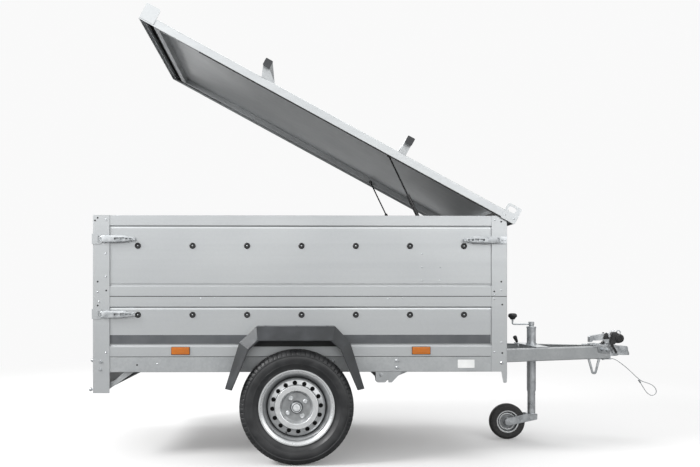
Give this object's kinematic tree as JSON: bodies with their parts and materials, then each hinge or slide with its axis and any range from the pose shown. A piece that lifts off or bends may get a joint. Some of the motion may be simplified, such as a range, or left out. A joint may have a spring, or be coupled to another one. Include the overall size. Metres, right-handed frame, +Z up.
{
  "type": "utility trailer",
  "caption": "Single-axle galvanised box trailer with raised sides, a front-hinged flat lid on gas struts, folding rear gates, a tipping bed, a V drawbar and a jockey wheel.",
  "frame": {"origin": "on the ground under the middle of the trailer's overall length and width, cable left out", "axes": "+X forward to the coupling, +Y to the left, +Z up"},
  "size_m": [3.0635, 1.45, 2.2558],
  "materials": {
    "galvanised_frame": "hot-dip galvanised, spangled, dull",
    "galvanised_sheet": "rolled galvanised sheet, satin",
    "zinc_plated": "bright zinc plate",
    "silver_wheel_paint": "silver lacquer",
    "tyre_rubber": "moulded tyre rubber",
    "jockey_rubber": "solid rubber",
    "black_plastic": "moulded, fine grain",
    "orange_lens": "clear moulded lens",
    "red_lens": "clear moulded lens",
    "plywood": "phenolic-faced plywood",
    "black_paint": "gloss black enamel",
    "nitrided_rod": "black nitrided, polished",
    "cast_hub": "cast drum",
    "cable_sheath": "stranded wire under clear sheath"
  },
  "bodies": {
    "box": {"side_beams": "galvanised_frame", "cross_members": "galvanised_frame", "rear_sill": "galvanised_frame", "floor_board": "plywood", "lower_side_left": "galvanised_sheet", "lower_side_right": "galvanised_sheet", "upper_side_left": "galvanised_sheet", "upper_side_right": "galvanised_sheet", "front_lower_panel": "galvanised_sheet", "front_upper_panel": "galvanised_sheet", "lower_posts": "galvanised_sheet", "upper_posts": "galvanised_sheet", "axle_beam": "galvanised_frame", "swing_arms": "galvanised_frame", "mudguard_left": "black_plastic", "mudguard_right": "black_plastic", "rear_lamp_carrier": "galvanised_frame", "tail_lamps": "red_lens", "gate_stops": "zinc_plated", "side_markers": "orange_lens", "side_latches": "zinc_plated", "strut_brackets": "zinc_plated", "pivot_hangers": "galvanised_frame"},
    "drawbar": {"drawbar_beams": "galvanised_frame", "drawbar_pivot_tube": "galvanised_frame", "jack_clamp": "zinc_plated", "jack_outer_tube": "zinc_plated", "jack_crank": "black_plastic", "tilt_lever": "black_plastic", "coupling_housing": "zinc_plated", "coupling_handle": "zinc_plated", "coupling_plug": "black_plastic", "cable_hook": "zinc_plated", "breakaway_cable": "cable_sheath"},
    "jack_leg": {"jack_inner_tube": "zinc_plated"},
    "jockey_caster": {"jockey_fork": "zinc_plated"},
    "jockey_wheel": {"jockey_tyre": "jockey_rubber", "jockey_rim": "silver_wheel_paint"},
    "lid": {"lid_frame": "galvanised_frame", "lid_sheet": "galvanised_sheet", "lid_end_plates": "galvanised_sheet", "lid_crossbars": "galvanised_frame", "crossbar_caps": "black_plastic", "lid_handle": "zinc_plated"},
    "lower_gate": {"rear_lower_gate": "galvanised_sheet"},
    "upper_gate": {"rear_upper_gate": "galvanised_sheet"},
    "wheel_left": {"tyre_left": "tyre_rubber", "rim_left": "silver_wheel_paint", "hub_left": "cast_hub"},
    "wheel_right": {"tyre_right": "tyre_rubber", "rim_right": "silver_wheel_paint", "hub_right": "cast_hub"},
    "strut_tube_left": {"strut_cylinder_left": "black_paint"},
    "strut_tube_right": {"strut_cylinder_right": "black_paint"},
    "strut_rod_left": {"strut_rod_left": "nitrided_rod"},
    "strut_rod_right": {"strut_rod_right": "nitrided_rod"}
  },
  "joints": [
    {"name": "wheel_left_spin", "type": "hinge", "parent": "box", "child": "wheel_left", "pos_m": [-0.432, 0.638, 0.277], "axis": [0, 1, 0], "continuous": true},
    {"name": "wheel_right_spin", "type": "hinge", "parent": "box", "child": "wheel_right", "pos_m": [-0.432, -0.638, 0.277], "axis": [0, 1, 0], "continuous": true},
    {"name": "lid_hinge", "type": "hinge", "parent": "box", "child": "lid", "pos_m": [0.625, 0, 1.165], "axis": [0, -1, 0], "range_deg": [0, 28.44]},
    {"name": "lower_gate_hinge", "type": "hinge", "parent": "box", "child": "lower_gate", "pos_m": [-1.445, 0, 0.498], "axis": [0, -1, 0], "range_deg": [0, 160]},
    {"name": "upper_gate_hinge", "type": "hinge", "parent": "box", "child": "upper_gate", "pos_m": [-1.4245, 0, 0.826], "axis": [0, 1, 0], "range_deg": [-90, 0]},
    {"name": "bed_tilt", "type": "hinge", "parent": "box", "child": "drawbar", "pos_m": [-0.011, 0, 0.408], "axis": [0, 1, 0], "range_deg": [0, 18]},
    {"name": "jack_slide", "type": "slide", "parent": "drawbar", "child": "jack_leg", "axis": [0, 0, 1], "range_m": [-0.06, 0.12]},
    {"name": "caster_swivel", "type": "hinge", "parent": "jack_leg", "child": "jockey_caster", "pos_m": [0.903, 0, 0.146], "axis": [0, 0, 1], "continuous": true},
    {"name": "jockey_spin", "type": "hinge", "parent": "jockey_caster", "child": "jockey_wheel", "pos_m": [0.763, 0, 0.1], "axis": [0, 1, 0], "continuous": true},
    {"name": "strut_pivot_left", "type": "hinge", "parent": "box", "child": "strut_tube_left", "pos_m": [0.275, 0.485, 1.02], "axis": [0, -1, 0], "range_deg": [-1, 37.8]},
    {"name": "strut_stroke_left", "type": "slide", "parent": "strut_tube_left", "child": "strut_rod_left", "axis": [0.4337, 0, -0.9011], "range_m": [-0.002, 0.17552]},
    {"name": "strut_pivot_right", "type": "hinge", "parent": "box", "child": "strut_tube_right", "pos_m": [0.275, -0.485, 1.02], "axis": [0, -1, 0], "range_deg": [-1, 37.8]},
    {"name": "strut_stroke_right", "type": "slide", "parent": "strut_tube_right", "child": "strut_rod_right", "axis": [0.4337, 0, -0.9011], "range_m": [-0.002, 0.17552]}
  ],
  "couplings": [
    {"joint": "strut_pivot_left", "follows": "lid_hinge", "ratio": 1.2939},
    {"joint": "strut_stroke_left", "follows": "lid_hinge", "m_per_rad": 0.34958},
    {"joint": "strut_pivot_right", "follows": "lid_hinge", "ratio": 1.2939},
    {"joint": "strut_stroke_right", "follows": "lid_hinge", "m_per_rad": 0.34958}
  ]
}
